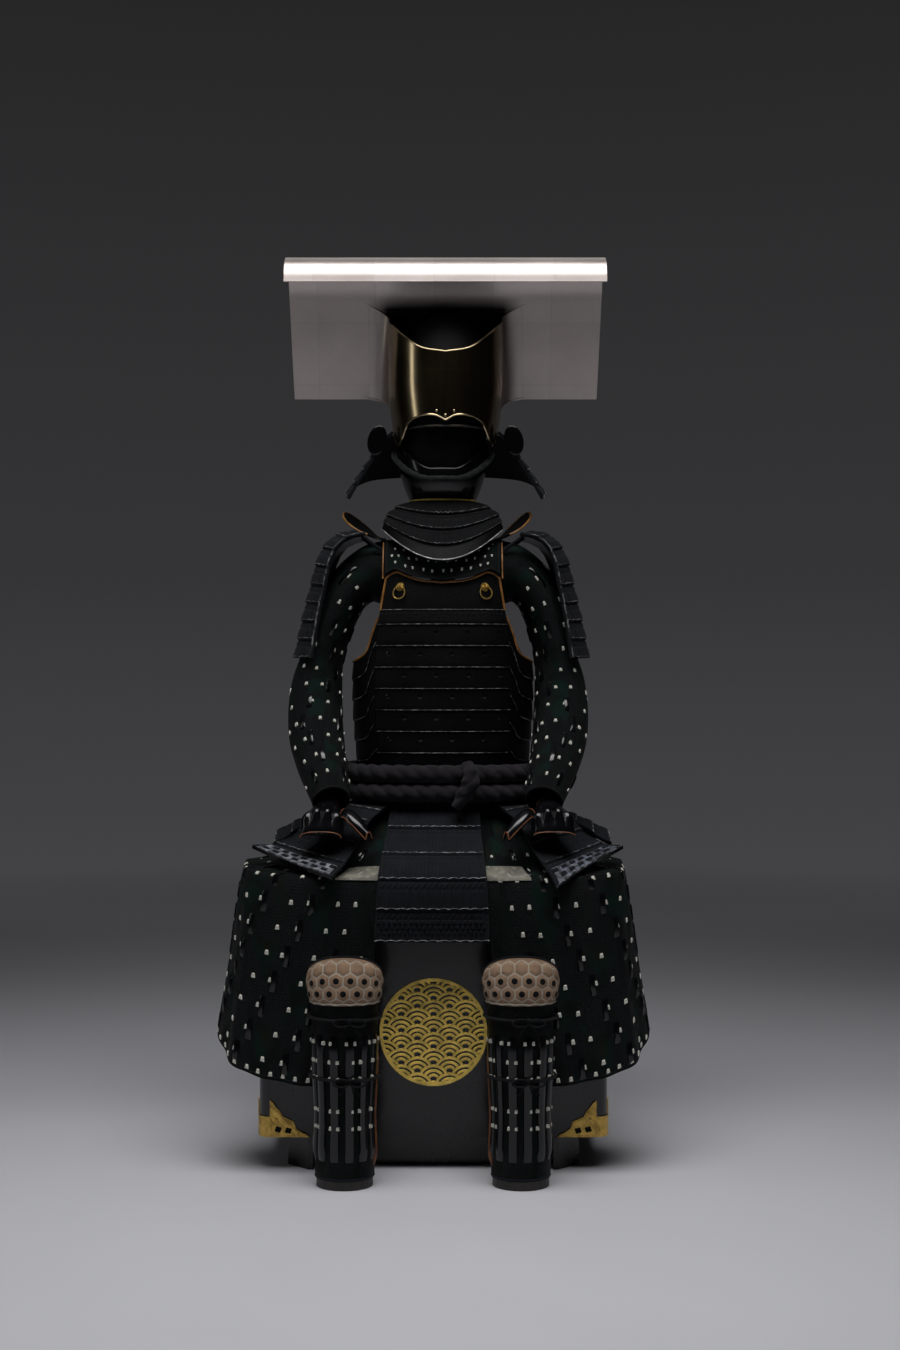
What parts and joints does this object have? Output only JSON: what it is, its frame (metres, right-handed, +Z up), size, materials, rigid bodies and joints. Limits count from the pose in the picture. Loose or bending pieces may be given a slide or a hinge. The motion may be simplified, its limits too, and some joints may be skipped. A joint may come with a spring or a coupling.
{
  "type": "samurai armour on its armour chest",
  "caption": "Seated suit of samurai armour with a wide silvered helmet crest, on its black lacquered armour chest.",
  "frame": {"origin": "on the floor, under the middle of the whole outline", "axes": "+Z up, -Y the way the armour faces, +X to the wearer's left"},
  "size_m": [0.7332, 0.634, 1.5635],
  "materials": {
    "chest_lacquer": "black lacquer, high gloss",
    "base_lacquer": "black lacquer, satin",
    "gilt_mounts": "gilt, engraved",
    "stand_wood": "dark stained, matt",
    "lacquered_iron": "black lacquer, satin to glossy",
    "ring_metal": "gilt, worn",
    "sash_rope": "twisted rope, matt",
    "laced_plates": "black plates laced with dark blue braid",
    "green_brocade": "brocade with mail and splints",
    "pale_brocade": "pale brocade",
    "knee_quilt": "quilted in hexagons",
    "helmet_bowl": "black lacquer, glossy",
    "silver_leaf": "silver leaf, satin to polished",
    "chin_cord": "braided cord"
  },
  "bodies": {
    "armour": {"chest_body": "chest_lacquer", "chest_lid": "chest_lacquer", "chest_base": "base_lacquer", "armour_stand": "stand_wood", "cuirass_front": "lacquered_iron", "cuirass_back": "lacquered_iron", "chest_plate": "lacquered_iron", "collar": "green_brocade", "sash_upper": "sash_rope", "sash_lower": "sash_rope", "sash_knot": "sash_rope", "tasset_front": "laced_plates", "tasset_back": "laced_plates", "face_mask": "lacquered_iron", "throat_guard": "laced_plates", "chin_cord": "chin_cord", "helmet_bowl": "helmet_bowl", "helmet_crest": "silver_leaf", "neck_guard": "laced_plates", "corner_mount_front_left": "gilt_mounts", "corner_mount_front_right": "gilt_mounts", "corner_mount_back_left": "gilt_mounts", "corner_mount_back_right": "gilt_mounts", "cuirass_side_left": "lacquered_iron", "cuirass_side_right": "lacquered_iron", "shoulder_strap_left": "lacquered_iron", "shoulder_strap_right": "lacquered_iron", "shoulder_wing_left": "lacquered_iron", "shoulder_wing_right": "lacquered_iron", "ring_boss_left": "ring_metal", "ring_boss_right": "ring_metal", "tasset_lap_left": "laced_plates", "tasset_lap_right": "laced_plates", "tasset_side_left": "laced_plates", "tasset_side_right": "laced_plates", "tasset_rear_left": "laced_plates", "tasset_rear_right": "laced_plates", "thigh_guard_left": "green_brocade", "thigh_guard_right": "green_brocade", "thigh_band_left": "pale_brocade", "thigh_band_right": "pale_brocade", "sleeve_left": "green_brocade", "sleeve_right": "green_brocade", "shoulder_guard_left": "laced_plates", "shoulder_guard_right": "laced_plates", "hand_guard_left": "lacquered_iron", "hand_guard_right": "lacquered_iron", "shin_guard_left": "green_brocade", "shin_guard_right": "green_brocade", "knee_guard_left": "knee_quilt", "knee_guard_right": "knee_quilt", "shin_stand_left": "stand_wood", "shin_stand_right": "stand_wood", "turn_back_left": "lacquered_iron", "turn_back_right": "lacquered_iron"},
    "ring_left": {"chest_ring_left": "ring_metal"},
    "ring_right": {"chest_ring_right": "ring_metal"}
  },
  "joints": [
    {"name": "ring_left_swing", "type": "hinge", "parent": "armour", "child": "ring_left", "pos_m": [0.09051, -0.03326, 0.9818], "axis": [-0.9305, -0.3663, 0], "range_deg": [0, 150]},
    {"name": "ring_right_swing", "type": "hinge", "parent": "armour", "child": "ring_right", "pos_m": [-0.06051, -0.03326, 0.9818], "axis": [-0.9305, 0.3663, 0], "range_deg": [0, 150]}
  ]
}
